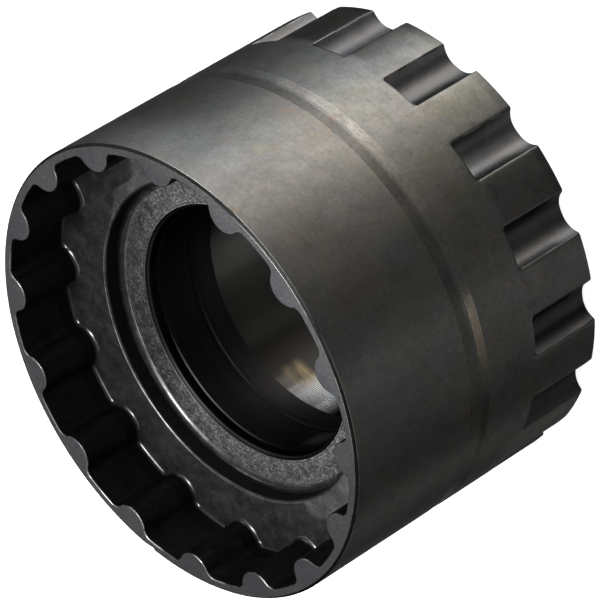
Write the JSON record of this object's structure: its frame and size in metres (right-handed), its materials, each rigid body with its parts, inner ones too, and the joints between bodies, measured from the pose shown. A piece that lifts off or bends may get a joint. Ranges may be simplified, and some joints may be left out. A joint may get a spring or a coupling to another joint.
{
  "type": "chainring lockring tool",
  "caption": "Short hollow steel socket with rounded inner lobes round its mouth, a stepped bore for a crank spindle, and wrench notches round its rear end.",
  "frame": {"origin": "centre of the notched rear end's face, on the tool's axis, where the tool stands", "axes": "+Z along the tool's axis, from the notched rear end up to the lobed mouth; +X through the middle of one rear notch"},
  "size_m": [0.044, 0.044, 0.0303],
  "materials": {
    "blackened_steel": "turned and blackened, satin sheen, lighter on the mouth face and worn edges"
  },
  "bodies": {
    "root": {"tool_body": "blackened_steel"}
  },
  "joints": []
}
